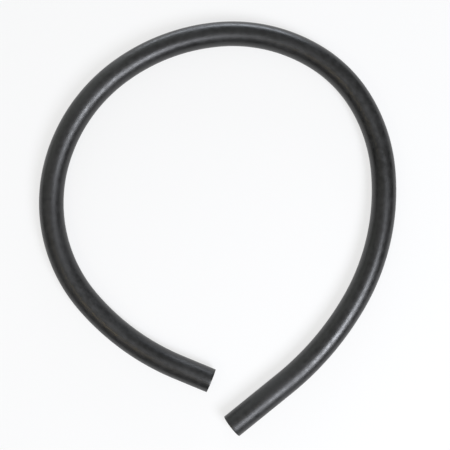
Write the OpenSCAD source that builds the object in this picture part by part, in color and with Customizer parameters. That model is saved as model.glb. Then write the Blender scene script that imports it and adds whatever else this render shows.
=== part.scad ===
// Bare rubber hose for a hand bulb pump: a lining, two plies of yarn and a cover, cut square at both ends.
// It lies flat in an open ring. The left end stops at the front of the ring, and the right end passes
// in front of it. The middle of the ring's extent stands over the origin.

/* [Hose] */
// Length along the centreline, from cut to cut
hose_length = 600; // [590:1:680]
// Diameter of the bore
bore_d = 8; // [6:0.1:9]
// Wall of the lining
lining_wall = 1.2; // [0.8:0.1:2]
// Thickness of each ply of yarn
ply_thickness = 0.35; // [0.2:0.05:0.6]
// Wall of the cover
cover_wall = 0.95; // [0.6:0.05:1.5]

/* [Ends] */
// Straight run at the left end, long enough for a barb and its clip
left_run = 20; // [16:1:30]

/* [Hidden] */

// Heading at the left cut, looking into the hose: degrees anticlockwise from +X
left_heading = 157.5;
// The bends from the left end to the right, all clockwise: radius of the centreline, degrees turned
bends = [
    [135, 27], [85, 56], [95, 38],
    [110, 32], [90, 36], [75, 28],
    [90, 25], [125, 35], [165, 21.5]
];
// Degrees between the stations at which the ring's extent is measured
survey_step = 1;
// Decimals of the first move that places a piece, and of the first turn
place_decimals = 3;
turn_decimals = 6;
// Degrees by which a bend laps over what it meets: nothing in a real size, but more than the numbers
// round off, so that the pieces of a layer join into one solid
lap = 1e-11;
// Facets round the wall, and of a full turn of a bend
wall_fn = 64;
bend_fn = 180;

bore_r = bore_d / 2;
lining_r = bore_r + lining_wall;
inner_ply_r = lining_r + ply_thickness;
outer_ply_r = inner_ply_r + ply_thickness;
cover_r = outer_ply_r + cover_wall;

// The rest of the length is the straight run at the right end
bent_length = sum([for (b = bends) b[0] * b[1] * PI / 180]);
right_run = hose_length - left_run - bent_length;

function sum(values, from = 0) =
    from == len(values) ? 0 : values[from] + sum(values, from + 1);

// A station on the centreline is [x, y, heading]
function ahead(station, run) = [
    station.x + run * cos(station[2]),
    station.y + run * sin(station[2]),
    station[2]
];

function round_bend(station, radius, turn) =
    let (h = station[2])
    [
        station.x + radius * (sin(h) - sin(h - turn)),
        station.y - radius * (cos(h) - cos(h - turn)),
        h - turn
    ];

// The station where bend i starts, for a hose whose left cut is at the station given
function bend_start(cut, i) =
    i == 0 ? ahead(cut, left_run)
    : round_bend(bend_start(cut, i - 1), bends[i - 1][0], bends[i - 1][1]);

// The two points of the outline beside a station
function sides(station) = [
    for (s = [-1, 1])
        [station.x - s * cover_r * sin(station[2]), station.y + s * cover_r * cos(station[2])]
];

// The hose is first laid from the origin, to find the middle of its extent
laid = [0, 0, left_heading];
outline = [
    each sides(laid),
    for (i = [0 : len(bends) - 1], turn = [0 : survey_step : bends[i][1]])
        each sides(round_bend(bend_start(laid, i), bends[i][0], turn)),
    each sides(ahead(bend_start(laid, len(bends)), right_run))
];
middle_x = (min([for (p = outline) p.x]) + max([for (p = outline) p.x])) / 2;
middle_y = (min([for (p = outline) p.y]) + max([for (p = outline) p.y])) / 2;

function short(value, decimals) = round(value * pow(10, decimals)) / pow(10, decimals);

// Pieces that share an end face have to share it to the last digit, also where numbers are written
// out with six. So a place is reached in two moves, and a heading in two turns: one of few decimals,
// and one of what is left.
module move_to(x, y) {
    translate([short(x, place_decimals), short(y, place_decimals)])
        translate([x - short(x, place_decimals), y - short(y, place_decimals)])
            children();
}

module turn_to(heading) {
    first = atan2(short(sin(heading), turn_decimals), short(cos(heading), turn_decimals));
    rotate(first)
        rotate(heading - first)
            children();
}

module wall(inner_r, outer_r) {
    difference() {
        circle(outer_r, $fn = wall_fn);
        circle(inner_r, $fn = wall_fn);
    }
}

// A straight run on from a station
module straight(station, run, inner_r, outer_r) {
    move_to(station.x, station.y)
        turn_to(station[2])
            rotate([90, 0, 90])
                linear_extrude(run)
                    wall(inner_r, outer_r);
}

// A bend to the right, on from a station
module bend(station, radius, turn, inner_r, outer_r) {
    heading = station[2];
    move_to(station.x + radius * sin(heading), station.y - radius * cos(heading))
        rotate_extrude(angle = turn + 2 * lap, start = heading + 90 - turn - lap, $fn = bend_fn)
            translate([radius, 0])
                wall(inner_r, outer_r);
}

// One layer of the hose, built on from the left cut and then laid in its place
module layer(inner_r, outer_r) {
    cut = [0, 0, 0];
    translate([-middle_x, -middle_y, cover_r])
        rotate(left_heading) {
            straight(cut, left_run, inner_r, outer_r);
            for (i = [0 : len(bends) - 1])
                bend(bend_start(cut, i), bends[i][0], bends[i][1], inner_r, outer_r);
            straight(bend_start(cut, len(bends)), right_run, inner_r, outer_r);
        }
}

module inner_tube() {
    color("#2b2b2d")
        layer(bore_r, lining_r);
}

module yarn_ply_inner() {
    color("#d8d2c2")
        layer(lining_r, inner_ply_r);
}

module yarn_ply_outer() {
    color("#d8d2c2")
        layer(inner_ply_r, outer_ply_r);
}

module cover() {
    color("#1c1c1e")
        layer(outer_ply_r, cover_r);
}

inner_tube();
yarn_ply_inner();
yarn_ply_outer();
cover();
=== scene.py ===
"""A bare black rubber hose lying in an open ring, seen from straight above.

Four layers, from the bore outwards: the lining, two plies of wound yarn and the cover. All four follow
one centreline, which is the route of the CAD solids.
"""

import math

import bmesh
import bpy
import numpy as np
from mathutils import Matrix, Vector


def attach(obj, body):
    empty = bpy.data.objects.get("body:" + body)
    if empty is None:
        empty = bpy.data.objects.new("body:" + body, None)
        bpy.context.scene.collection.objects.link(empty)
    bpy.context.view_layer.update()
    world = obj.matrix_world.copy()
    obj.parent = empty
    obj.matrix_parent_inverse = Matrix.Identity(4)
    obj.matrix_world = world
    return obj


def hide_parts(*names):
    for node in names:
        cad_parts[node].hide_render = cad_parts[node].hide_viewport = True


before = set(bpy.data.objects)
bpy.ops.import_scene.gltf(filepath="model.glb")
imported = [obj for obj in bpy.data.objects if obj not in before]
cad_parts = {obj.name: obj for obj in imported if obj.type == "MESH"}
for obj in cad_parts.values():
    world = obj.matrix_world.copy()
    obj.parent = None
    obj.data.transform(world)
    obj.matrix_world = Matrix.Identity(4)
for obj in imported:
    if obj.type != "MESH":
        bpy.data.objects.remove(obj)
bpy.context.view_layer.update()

# ---------------------------------------------------------------- the route, in metres
LENGTH = 0.600
LEFT_RUN = 0.020
LEFT_HEADING = math.radians(157.5)
BENDS = [
    (0.135, 27), (0.085, 56), (0.095, 38),
    (0.110, 32), (0.090, 36), (0.075, 28),
    (0.090, 25), (0.125, 35), (0.165, 21.5),
]
BORE_R = 0.0040
LINING_R = 0.0052
INNER_PLY_R = 0.00555
OUTER_PLY_R = 0.0059
COVER_R = 0.00685
# points along the hose at which the ring's extent is measured
SURVEY_POINTS = 1201


def legs():
    """Each leg of the route: where it starts along the hose, x, y, heading there, its radius or None."""
    made, at, x, y, h = [], 0.0, 0.0, 0.0, LEFT_HEADING
    for radius, turn in [(None, LEFT_RUN)] + [(r, math.radians(t)) for r, t in BENDS]:
        made.append((at, x, y, h, radius))
        if radius is None:
            x, y, at = x + turn * math.cos(h), y + turn * math.sin(h), at + turn
        else:
            x += radius * (math.sin(h) - math.sin(h - turn))
            y -= radius * (math.cos(h) - math.cos(h - turn))
            h, at = h - turn, at + radius * turn
    made.append((at, x, y, h, None))
    return made


LEGS = legs()


def laid(s):
    """x, y and heading at the distance s from the left cut, before the ring is centred."""
    at, x, y, h, radius = next(leg for leg in reversed(LEGS) if s >= leg[0] or leg is LEGS[0])
    d = s - at
    if radius is None:
        return x + d * math.cos(h), y + d * math.sin(h), h
    t = d / radius
    return x + radius * (math.sin(h) - math.sin(h - t)), y - radius * (math.cos(h) - math.cos(h - t)), h - t


def middle():
    """The middle of the ring's extent, which stands over the origin."""
    points = []
    for s in np.linspace(0, LENGTH, SURVEY_POINTS):
        x, y, h = laid(s)
        points += [(x + k * COVER_R * math.sin(h), y - k * COVER_R * math.cos(h)) for k in (-1, 1)]
    points = np.array(points)
    return (points.min(0) + points.max(0)) / 2


MIDDLE = middle()


def station(s):
    """The centre of the hose's section at s, the way it runs there, and the way to its right."""
    x, y, h = laid(s)
    centre = np.array([x - MIDDLE[0], y - MIDDLE[1], COVER_R])
    return centre, np.array([math.cos(h), math.sin(h), 0.0]), np.array([math.sin(h), -math.cos(h), 0.0])


UP = np.array([0.0, 0.0, 1.0])

# ---------------------------------------------------------------- the camera
# It looks straight down, a little off the ring's middle. 253 mm of the plane through the hose's
# centreline fills the picture's width. The lens and the sensor are in millimetres.
SEEN = 0.25304
CAMERA_X, CAMERA_Y = 0.00412, 0.00206
LENS, SENSOR = 75.0, 36.0
camera = bpy.data.objects.new("camera", bpy.data.cameras.new("camera"))
camera.data.lens, camera.data.sensor_width = LENS, SENSOR
camera.location = (CAMERA_X, CAMERA_Y, COVER_R + SEEN * LENS / SENSOR)
bpy.context.collection.objects.link(camera)
bpy.context.scene.camera = camera


# ---------------------------------------------------------------- meshes
def make(name, points, faces, lay, cuts, material):
    """A mesh piece. For each point, lay holds its place in the unrolled hose, along it and across its
    section, and cuts is 1 on a cut face and 0 elsewhere."""
    mesh = bpy.data.meshes.new(name)
    mesh.from_pydata([tuple(p) for p in points], [], faces)
    mesh.update()
    attribute = mesh.attributes.new("lay", "FLOAT_VECTOR", "POINT")
    attribute.data.foreach_set("vector", np.array(lay, np.float32).ravel())
    cut = mesh.attributes.new("cut", "FLOAT", "POINT")
    cut.data.foreach_set("value", np.array(cuts, np.float32))
    obj = bpy.data.objects.new(name, mesh)
    bpy.context.collection.objects.link(obj)
    mesh.materials.append(material)
    for polygon in mesh.polygons:
        polygon.use_smooth = True
    return obj


def turned(profile, sides):
    """Rings of points round the centreline, one for each (distance along the hose, radius, cut) of the
    profile, and the faces that join them all into a closed skin."""
    points, lay, cuts = [], [], []
    angles = [2 * math.pi * k / sides for k in range(sides)]
    for s, r, cut in profile:
        inside = min(max(s, 0.0), LENGTH)
        centre, ahead, right = station(inside)
        centre = centre + ahead * (s - inside)
        for a in angles:
            points.append(centre + r * (math.cos(a) * right + math.sin(a) * UP))
            lay.append((s, r * math.cos(a), r * math.sin(a)))
            cuts.append(cut)
    faces, n = [], len(profile)
    for i in range(n):
        j = (i + 1) % n
        for k in range(sides):
            m = (k + 1) % sides
            faces.append((i * sides + k, i * sides + m, j * sides + m, j * sides + k))
    return points, faces, lay, cuts


def steps(first, last, step):
    """Distances from first to last, about a step apart, that meet every joint between two legs."""
    marks = [first] + [leg[0] for leg in LEGS[1:] if first < leg[0] < last] + [last]
    out = []
    for a, b in zip(marks, marks[1:]):
        out += list(np.linspace(a, b, max(1, round((b - a) / step)) + 1)[:-1])
    return out + [last]


def layer_profile(inner, outer, edge, outer_step, inner_step, face_rings=4):
    """The outline of a layer's wall: along the outside, over the right cut, back along the inside and
    over the left cut. edge is the small round that the knife leaves on the outer and inner edges."""
    # the round, from the cut face to the wall: how far along, how deep, and whether it is still cut
    cuts = (1.0, 1.0, 0.0, 0.0)
    turns = np.linspace(0, math.pi / 2, len(cuts))
    quarter = [(edge * (1 - math.cos(t)), edge * (1 - math.sin(t)), c) for t, c in zip(turns, cuts)]
    radii = np.linspace(outer - edge, inner + edge, face_rings + 2)[1:-1]
    out = [(along, outer - deep, c) for along, deep, c in quarter]
    out += [(s, outer, 0.0) for s in steps(edge, LENGTH - edge, outer_step)[1:-1]]
    out += [(LENGTH - along, outer - deep, c) for along, deep, c in reversed(quarter)]
    out += [(LENGTH, r, 1.0) for r in radii]
    out += [(LENGTH - along, inner + deep, c) for along, deep, c in quarter]
    out += [(s, inner, 0.0) for s in reversed(steps(edge, LENGTH - edge, inner_step)[1:-1])]
    out += [(along, inner + deep, c) for along, deep, c in reversed(quarter)]
    out += [(0.0, r, 1.0) for r in reversed(radii)]
    return out


# ---------------------------------------------------------------- materials
class Nodes:
    """A short way to write a material's nodes."""

    def __init__(self, name):
        self.material = bpy.data.materials.new(name)
        self.material.use_nodes = True
        self.tree = self.material.node_tree
        self.shader = self.tree.nodes["Principled BSDF"]

    def add(self, kind, inputs=None, **values):
        node = self.tree.nodes.new(kind)
        for key, value in values.items():
            setattr(node, key, value)
        for key, value in (inputs or {}).items():
            self.put(node.inputs[key], value)
        return node

    def put(self, socket, value):
        if isinstance(value, bpy.types.NodeSocket):
            self.tree.links.new(value, socket)
        else:
            socket.default_value = value

    def attribute(self, name, output):
        return self.add("ShaderNodeAttribute", attribute_name=name).outputs[output]

    def lay(self, scale=(1, 1, 1)):
        """The place in the unrolled hose, scaled: along it, and the two ways across its section."""
        at = self.attribute("lay", "Vector")
        return self.add("ShaderNodeVectorMath", {0: at, 1: scale}, operation="MULTIPLY").outputs[0]

    def noise(self, vector, scale, detail=2.0, roughness=0.5):
        inputs = {"Vector": vector, "Scale": scale, "Detail": detail, "Roughness": roughness}
        return self.add("ShaderNodeTexNoise", inputs).outputs["Fac"]

    def waves(self, vector, direction, **values):
        """Soft parallel bands, one after the other along the direction."""
        inputs = {"Vector": vector}
        inputs.update({key.replace("_", " ").title(): value for key, value in values.items()})
        node = self.add("ShaderNodeTexWave", inputs, wave_type="BANDS", bands_direction=direction)
        return node.outputs["Fac"]

    def spots(self, vector, scale, size):
        """1 at the middle of each cell's round spot, falling to 0 at its rim, and the cell's own colour."""
        cells = self.add("ShaderNodeTexVoronoi", {"Vector": vector, "Scale": scale}, feature="F1")
        return self.ramp(cells.outputs["Distance"], (0.0, 1.0), (size, 0.0)), cells.outputs["Color"]

    def ramp(self, value, start, end):
        """Grey between two stops, each of them (place, grey)."""
        node = self.add("ShaderNodeValToRGB", {"Fac": value})
        for element, (place, grey) in zip(node.color_ramp.elements, (start, end)):
            element.position = place
            element.color = (grey, grey, grey, 1)
        return node.outputs["Color"]

    def math(self, how, a, b=0.0, clamp=False):
        return self.add("ShaderNodeMath", {0: a, 1: b}, operation=how, use_clamp=clamp).outputs[0]

    def weighed(self, a, a_weight, b, b_weight):
        """a and b, each times its weight, added up."""
        return self.math("ADD", self.math("MULTIPLY", a, a_weight), self.math("MULTIPLY", b, b_weight))

    def mix(self, factor, a, b):
        node = self.add("ShaderNodeMix", data_type="RGBA")
        for key, value in (("Factor_Float", factor), ("A_Color", a), ("B_Color", b)):
            socket = next(i for i in node.inputs if i.identifier == key)
            self.put(socket, (*value, 1) if isinstance(value, tuple) else value)
        return next(o for o in node.outputs if o.identifier == "Result_Color")

    def bump(self, height, distance, normal=None):
        """The normal of a skin that stands distance metres high where height is 1."""
        inputs = {"Height": height, "Distance": distance}
        if normal is not None:
            inputs["Normal"] = normal
        return self.add("ShaderNodeBump", inputs).outputs["Normal"]

    def shade(self, **inputs):
        for key, value in inputs.items():
            name = key.replace("_", " ").title().replace("Ior", "IOR")
            if isinstance(value, tuple):
                value = (*value, 1)
            self.put(self.shader.inputs[name], value)
        return self.material


DUST = (0.30, 0.29, 0.27)
# the compound's own, browner black, which a cut face shows in place of the skin's
CUT_DARK, CUT_LIGHT, CUT_SHOWS = (0.010, 0.010, 0.010), (0.030, 0.029, 0.027), 0.85
# how much rougher the bloom, a cut and a speck of dust are
BLOOM_DULLS, CUT_DULLS, DUST_DULLS = 0.18, 0.22, 0.3
# the shares of the broad patches and of the mottle in the bloom, and of the grain and ribs in the skin
PATCHES_SHARE, MOTTLE_SHARE, GRAIN_SHARE, RIBS_SHARE = 0.45, 0.55, 0.6, 0.35
# how high the bumps of both rubbers stand, in metres
MOTTLE_HIGH, WAVINESS_HIGH, KNIFE_HIGH = 0.000012, 0.0001, 0.00009
RUBBER_IOR = 1.6


def rubber(name, dark, light, roughness, grain, dusty):
    """Black rubber with a satin skin on the wall, and a duller, knife-marked face where it is cut. Its
    colour goes from dark to light with the bloom. grain is how high its fine grain stands, in metres,
    and dusty is how much its specks of dust show."""
    n = Nodes(name)
    cut = n.attribute("cut", "Fac")
    wall = n.lay()
    along = n.lay((0.25, 1, 1))
    # bloom: broad, faint patches where the skin is a little greyer and duller, and a mottle in them
    patches = n.noise(along, scale=60.0, detail=4.0, roughness=0.6)
    mottle = n.noise(wall, scale=300.0, detail=4.0, roughness=0.65)
    bloom = n.ramp(n.weighed(patches, PATCHES_SHARE, mottle, MOTTLE_SHARE), (0.38, 0.0), (0.62, 1.0))
    colour = n.mix(bloom, dark, light)
    # dust: a pale speck in the few cells whose random colour is the palest
    where, pick = n.spots(wall, scale=170.0, size=0.045)
    few = n.ramp(pick, (0.90, 0.0), (0.93, 1.0))
    speck = n.math("MULTIPLY", n.math("MULTIPLY", where, few), dusty, clamp=True)
    colour = n.mix(speck, colour, DUST)
    # the cut face, with the knife's marks up and down it
    knife = n.noise(n.lay((1, 9, 0.6)), scale=700.0, detail=3.0, roughness=0.65)
    compound = n.mix(knife, CUT_DARK, CUT_LIGHT)
    colour = n.mix(n.math("MULTIPLY", cut, CUT_SHOWS), colour, compound)
    # the roughness given is that of the skin where its bloom is half
    rough = n.math("ADD", n.math("MULTIPLY", bloom, BLOOM_DULLS), roughness - BLOOM_DULLS / 2)
    rough = n.math("ADD", rough, n.math("MULTIPLY", cut, CUT_DULLS))
    rough = n.math("ADD", rough, n.math("MULTIPLY", speck, DUST_DULLS), clamp=True)
    # skin: a fine grain and the faint ribs of the cloth it was cured in, then the mottle, and a slow
    # waviness. The grain and the ribs end at a cut, where the knife's marks begin.
    ribs = n.waves(wall, "X", scale=900.0, distortion=1.6, detail=2.0, detail_scale=1.5)
    fine = n.noise(wall, scale=2600.0, detail=2.0, roughness=0.5)
    skin = n.weighed(fine, GRAIN_SHARE, ribs, RIBS_SHARE)
    skin = n.math("MULTIPLY", skin, n.math("SUBTRACT", 1.0, cut))
    normal = n.bump(skin, grain)
    normal = n.bump(mottle, MOTTLE_HIGH, normal)
    normal = n.bump(n.noise(along, scale=90.0, detail=2.0, roughness=0.5), WAVINESS_HIGH, normal)
    normal = n.bump(n.math("MULTIPLY", knife, cut), KNIFE_HIGH, normal)
    return n.shade(base_color=colour, roughness=rough, ior=RUBBER_IOR, normal=normal)


YARN_DARK, YARN_LIGHT, BETWEEN_YARNS = (0.50, 0.45, 0.36), (0.72, 0.68, 0.58), (0.16, 0.14, 0.11)
CEMENT_DARK, CEMENT_LIGHT = (0.014, 0.013, 0.012), (0.060, 0.055, 0.047)
# how high the strands stand, in metres, and the fibres' share of that
STRANDS_HIGH, FIBRE_SHARE = 0.0001, 0.3


def yarn():
    """Undyed yarn, its strands wound side by side on a slant. On the cut, the cement between their ends."""
    n = Nodes("yarn")
    cut = n.attribute("cut", "Fac")
    strands = n.waves(n.lay((1, 0.7, 0.7)), "DIAGONAL", scale=420.0, distortion=0.4)
    fibre = n.noise(n.lay((1, 3, 3)), scale=2600.0, detail=3.0, roughness=0.6)
    textile = n.mix(fibre, YARN_DARK, YARN_LIGHT)
    colour = n.mix(n.ramp(strands, (0.05, 0.0), (0.35, 1.0)), BETWEEN_YARNS, textile)
    colour = n.mix(cut, colour, n.mix(fibre, CEMENT_DARK, CEMENT_LIGHT))
    rough = n.ramp(fibre, (0.2, 0.75), (0.8, 0.95))
    normal = n.bump(n.math("ADD", strands, n.math("MULTIPLY", fibre, FIBRE_SHARE)), STRANDS_HIGH)
    return n.shade(base_color=colour, roughness=rough, normal=normal)


cover_rubber = rubber(
    "cover",
    dark=(0.0018, 0.0018, 0.0019),
    light=(0.0125, 0.0125, 0.0129),
    roughness=0.39,
    grain=0.000006,
    dusty=0.8,
)
lining_rubber = rubber(
    "lining",
    dark=(0.0100, 0.0100, 0.0105),
    light=(0.0180, 0.0178, 0.0175),
    roughness=0.52,
    grain=0.000016,
    dusty=0.3,
)
yarn_fabric = yarn()

# ---------------------------------------------------------------- the hose
# how finely a wall is divided along the hose, where it is seen and where it is hidden
FINE_STEP, COARSE_STEP = 0.0015, 0.004
COVER_SIDES, INNER_SIDES = 96, 80
# the rounds on the cut edges
RUBBER_EDGE, PLY_EDGE = 0.00012, 0.00005

cover_outline = layer_profile(OUTER_PLY_R, COVER_R, RUBBER_EDGE, FINE_STEP, COARSE_STEP)
cover = make("hose_cover", *turned(cover_outline, COVER_SIDES), cover_rubber)
lining_outline = layer_profile(BORE_R, LINING_R, RUBBER_EDGE, COARSE_STEP, FINE_STEP)
lining = make("hose_lining", *turned(lining_outline, INNER_SIDES), lining_rubber)
plies = []
for name, inner, outer in (
    ("ply_inner", LINING_R, INNER_PLY_R),
    ("ply_outer", INNER_PLY_R, OUTER_PLY_R),
):
    ply_outline = layer_profile(inner, outer, PLY_EDGE, COARSE_STEP, COARSE_STEP, face_rings=1)
    plies.append(make(name, *turned(ply_outline, INNER_SIDES), yarn_fabric))

YARNS = 30
YARN_SIDES = 12
YARN_ACROSS, YARN_THICK, YARN_STANDS = 0.00042, 0.00015, 0.00009
# by how much of its size a yarn can differ from these
ACROSS_VARIES, THICK_VARIES, STANDS_VARIES = 0.12, 0.1, 0.4
# rings of a dome from its foot inside the ply to its top: how wide, and how far out of the cut
DOME = [(1.0, -1.2), (1.0, 0.0), (0.9, 0.5), (0.6, 0.9)]


def unevenness(k, row, s):
    """From -1 to 1: as good as random from yarn to yarn, from ply to ply and from end to end."""
    per_yarn, per_ply, per_metre = 91.7, 37.1, 1000
    return math.sin(per_yarn * k + per_ply * row + per_metre * s)


def dome_faces(first, top, way):
    """The faces of a dome whose rings start at the point first, and whose tip is the point top."""
    loops = [[first + i * YARN_SIDES + m for m in range(YARN_SIDES)] for i in range(len(DOME))]
    around = [(m, (m + 1) % YARN_SIDES) for m in range(YARN_SIDES)]
    faces = [tuple(reversed(loops[0]))]
    for low, up in zip(loops, loops[1:]):
        faces += [(low[m], low[after], up[after], up[m]) for m, after in around]
    faces += [(loops[-1][m], loops[-1][after], top) for m, after in around]
    return faces if way > 0 else [tuple(reversed(face)) for face in faces]


def yarn_ends(name, s, way):
    """The cut ends of the yarns at one end of the hose, a low dome for each, in a row for each ply. way
    is -1 at the start of the route and 1 at its end."""
    points, faces, lay = [], [], []
    centre, ahead, right = station(s)
    for row, ply_r in enumerate(((LINING_R + INNER_PLY_R) / 2, (INNER_PLY_R + OUTER_PLY_R) / 2)):
        for k in range(YARNS):
            a = 2 * math.pi * (k + row / 2) / YARNS
            outwards = math.cos(a) * right + math.sin(a) * UP
            sideways = math.cos(a) * UP - math.sin(a) * right
            uneven = unevenness(k, row, s)
            stands = YARN_STANDS * (1 + STANDS_VARIES * uneven)
            across = YARN_ACROSS * (1 + ACROSS_VARIES * uneven)
            thick = YARN_THICK * (1 - THICK_VARIES * uneven)
            first = len(points)
            for wide, high in DOME:
                for m in range(YARN_SIDES):
                    t = 2 * math.pi * m / YARN_SIDES
                    b, r = wide * across * math.cos(t), ply_r + wide * thick * math.sin(t)
                    points.append(centre + r * outwards + b * sideways + way * stands * high * ahead)
                    lay.append((s + way * stands * high, r * math.cos(a), r * math.sin(a) + b))
            points.append(centre + ply_r * outwards + way * stands * ahead)
            lay.append((s + way * stands, ply_r * math.cos(a), ply_r * math.sin(a)))
            faces += dome_faces(first, len(points) - 1, way)
    return make(name, points, faces, lay, [0.0] * len(points), yarn_fabric)


ends = [yarn_ends("yarn_ends_left", 0.0, -1), yarn_ends("yarn_ends_right", LENGTH, 1)]

ring_centres = [tuple(station(s)[0]) for s in steps(0.0, LENGTH, FINE_STEP)]
for piece, node, finish in (
    (cover, "cover", "cover"),
    (lining, "inner_tube", "lining"),
    (plies[0], "yarn_ply_inner", "yarn"),
    (plies[1], "yarn_ply_outer", "yarn"),
):
    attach(piece, "root")
    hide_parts(node)
for piece in ends:
    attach(piece, "root")


# ---------------------------------------------------------------- floor, sky and lights
FLOOR_HALF = 8.0
FLOOR_GREY, WHITE = (0.22, 0.22, 0.22), (1.0, 1.0, 1.0)
FLOOR_GLOW = 0.72


def floor():
    """A matte floor that looks white to the camera and in reflections, and keeps the hose's shadow."""
    mesh = bpy.data.meshes.new("floor")
    bm = bmesh.new()
    bmesh.ops.create_grid(bm, x_segments=4, y_segments=4, size=FLOOR_HALF)
    bm.to_mesh(mesh)
    bm.free()
    obj = bpy.data.objects.new("floor", mesh)
    bpy.context.collection.objects.link(obj)
    n = Nodes("floor")
    path = n.add("ShaderNodeLightPath")
    seen = n.math("MAXIMUM", path.outputs["Is Camera Ray"], path.outputs["Is Glossy Ray"])
    seen = n.math("MAXIMUM", seen, path.outputs["Is Transmission Ray"])
    glow = n.math("MULTIPLY", seen, FLOOR_GLOW)
    mesh.materials.append(n.shade(
        base_color=FLOOR_GREY,
        roughness=1.0,
        specular_ior_level=0.0,
        emission_color=WHITE,
        emission_strength=glow,
    ))


floor()

COOL, COLD = (0.90, 0.925, 1.00), (0.86, 0.915, 1.00)
AMBER, GREENISH = (1.00, 0.79, 0.45), (0.95, 1.00, 0.92)
LAMPS = [
    # name, azimuth, elevation, wide, high, radiance, colour, distance
    ("main", 316, 54, 18, 27, 20.5, COOL, 1.0),
    ("far_side_high", 82, 9, 26, 18, 7.5, COLD, 3.0),
    ("far_side_low", 104, 5, 26, 10, 9.5, COLD, 3.0),
    ("warm", 222, 56, 8, 10, 6.5, AMBER, 1.0),
    ("left_fill", 140, 25, 56, 40, 0.53, GREENISH, 1.0),
]


def softbox(name, azimuth, elevation, wide, high, radiance, colour, distance):
    """A lamp that faces the ring's middle, at a distance in metres. Its place and size are in degrees as
    the ring sees it, and radiance is what its face shows, where white paper is about 1."""
    a, e = math.radians(azimuth), math.radians(elevation)
    place = Vector((math.cos(e) * math.cos(a), math.cos(e) * math.sin(a), math.sin(e))) * distance
    lamp = bpy.data.lights.new(name, "AREA")
    lamp.shape = "RECTANGLE"
    lamp.size = 2 * distance * math.tan(math.radians(wide) / 2)
    lamp.size_y = 2 * distance * math.tan(math.radians(high) / 2)
    lamp.energy = radiance * math.pi * lamp.size * lamp.size_y
    lamp.color = colour
    obj = bpy.data.objects.new(name, lamp)
    obj.location = place
    obj.rotation_mode = "QUATERNION"
    obj.rotation_quaternion = place.to_track_quat("Z", "Y")
    obj.visible_camera = False
    bpy.context.collection.objects.link(obj)


for lamp in LAMPS:
    softbox(*lamp)

# how bright the sky is straight overhead, and at the horizon, where a pale band fades out upwards
OVERHEAD, HORIZON, BAND_TOP = 0.47, 0.85, 0.10
SKY_COLOUR = (0.99, 1.0, 0.98, 1)


def sky():
    """Pale overhead, dark lower down, and palest in a narrow band along the horizon."""
    world = bpy.data.worlds.new("sky")
    bpy.context.scene.world = world
    world.use_nodes = True
    tree = world.node_tree
    direction = tree.nodes.new("ShaderNodeSeparateXYZ")
    tree.links.new(tree.nodes.new("ShaderNodeTexCoord").outputs["Generated"], direction.inputs[0])
    total = tree.nodes.new("ShaderNodeMath")
    # the sky and then the band: the height up to which it changes, and how bright it is at the horizon
    # and at that height
    changes = ((1.0, 0.0, OVERHEAD, "LINEAR"), (BAND_TOP, HORIZON, 0.0, "SMOOTHSTEP"))
    for socket, (top, low, high, kind) in zip(total.inputs, changes):
        change = tree.nodes.new("ShaderNodeMapRange")
        change.interpolation_type = kind
        change.inputs["From Max"].default_value = top
        change.inputs["To Min"].default_value = low
        change.inputs["To Max"].default_value = high
        tree.links.new(direction.outputs["Z"], change.inputs["Value"])
        tree.links.new(change.outputs["Result"], socket)
    tree.nodes["Background"].inputs["Color"].default_value = SKY_COLOUR
    tree.links.new(total.outputs["Value"], tree.nodes["Background"].inputs["Strength"])


sky()

bpy.context.scene.view_settings.view_transform = "Standard"
